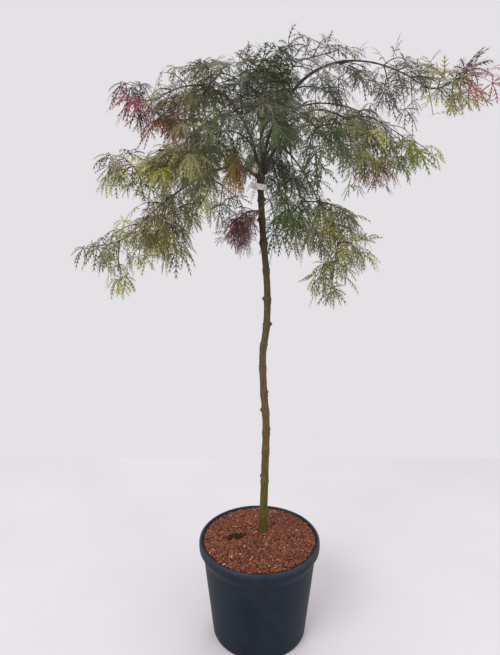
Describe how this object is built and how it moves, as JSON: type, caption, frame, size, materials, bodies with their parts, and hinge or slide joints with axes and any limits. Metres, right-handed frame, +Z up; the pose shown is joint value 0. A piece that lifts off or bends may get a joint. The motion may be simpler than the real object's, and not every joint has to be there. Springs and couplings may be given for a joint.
{
  "type": "potted weeping japanese maple",
  "caption": "Grafted weeping maple: a tall bare stem with an umbrella crown of hanging, finely cut leaves, in a round plastic nursery pot topped with bark mulch.",
  "frame": {"origin": "middle of the pot's flat underside", "axes": "+Z up along the stem; seen from the front, +X is to the right and +Y is away"},
  "size_m": [0.8514, 0.7475, 1.3189],
  "materials": {
    "pot_plastic": "moulded, slightly worn, dark slate blue",
    "bark_mulch": "loose chips of reddish bark over potting mix",
    "stem_bark": "smooth olive bark with brown scars and lenticels",
    "bough_bark": "dark brown smooth bark",
    "strap_plastic": "blank white plastic strap",
    "leaf_crimson": "thin satin leaf, crimson",
    "leaf_deep_green": "thin satin leaf, deep green",
    "leaf_fresh_green": "thin satin leaf, fresh green",
    "leaf_grey_green": "thin satin leaf, grey green",
    "leaf_lime_gold": "thin satin leaf, lime gold",
    "leaf_olive": "thin satin leaf, olive",
    "leaf_plum_grey": "thin satin leaf, plum grey",
    "leaf_rust": "thin satin leaf, rust"
  },
  "bodies": {
    "root": {"bough_back": "bough_bark", "bough_back_inner": "bough_bark", "bough_back_left": "bough_bark", "bough_back_right": "bough_bark", "bough_crown": "bough_bark", "bough_crown_front": "bough_bark", "bough_front": "bough_bark", "bough_front_inner": "bough_bark", "bough_front_left": "bough_bark", "bough_front_right": "bough_bark", "bough_left_back": "bough_bark", "bough_left_front": "bough_bark", "bough_left_hang": "bough_bark", "bough_left_high": "bough_bark", "bough_left_inner": "bough_bark", "bough_left_low": "bough_bark", "bough_left_rear": "bough_bark", "bough_left_side": "bough_bark", "bough_right_back": "bough_bark", "bough_right_front": "bough_bark", "bough_right_hang": "bough_bark", "bough_right_high": "bough_bark", "bough_right_low": "bough_bark", "bough_right_mid": "bough_bark", "bough_right_rear": "bough_bark", "bough_right_top": "bough_bark", "bough_right_under": "bough_bark", "foliage_back_fall": "leaf_deep_green", "foliage_back_left_fall": "leaf_olive", "foliage_back_left_rise": "leaf_grey_green", "foliage_back_right_fall": "leaf_fresh_green", "foliage_back_right_rise": "leaf_deep_green", "foliage_back_rise": "leaf_grey_green", "foliage_crown_left": "leaf_grey_green", "foliage_crown_middle": "leaf_deep_green", "foliage_crown_right": "leaf_plum_grey", "foliage_far_left_high": "leaf_crimson", "foliage_far_left_low": "leaf_lime_gold", "foliage_far_right": "leaf_crimson", "foliage_front_amber": "leaf_rust", "foliage_front_fall": "leaf_deep_green", "foliage_front_left_fall": "leaf_grey_green", "foliage_front_right_fall": "leaf_deep_green", "foliage_left_curtain": "leaf_olive", "foliage_left_green": "leaf_fresh_green", "foliage_left_hanging": "leaf_olive", "foliage_left_outer": "leaf_lime_gold", "foliage_left_shoulder": "leaf_olive", "foliage_right_crimson": "leaf_crimson", "foliage_right_green": "leaf_fresh_green", "foliage_right_hanging": "leaf_lime_gold", "foliage_right_inner": "leaf_grey_green", "foliage_right_outer": "leaf_olive", "foliage_right_shoulder": "leaf_plum_grey", "foliage_right_tail": "leaf_fresh_green", "foliage_stem_crimson": "leaf_crimson", "pot": "pot_plastic", "potting_mix": "bark_mulch", "stem": "stem_bark", "strap": "strap_plastic"}
  },
  "joints": []
}
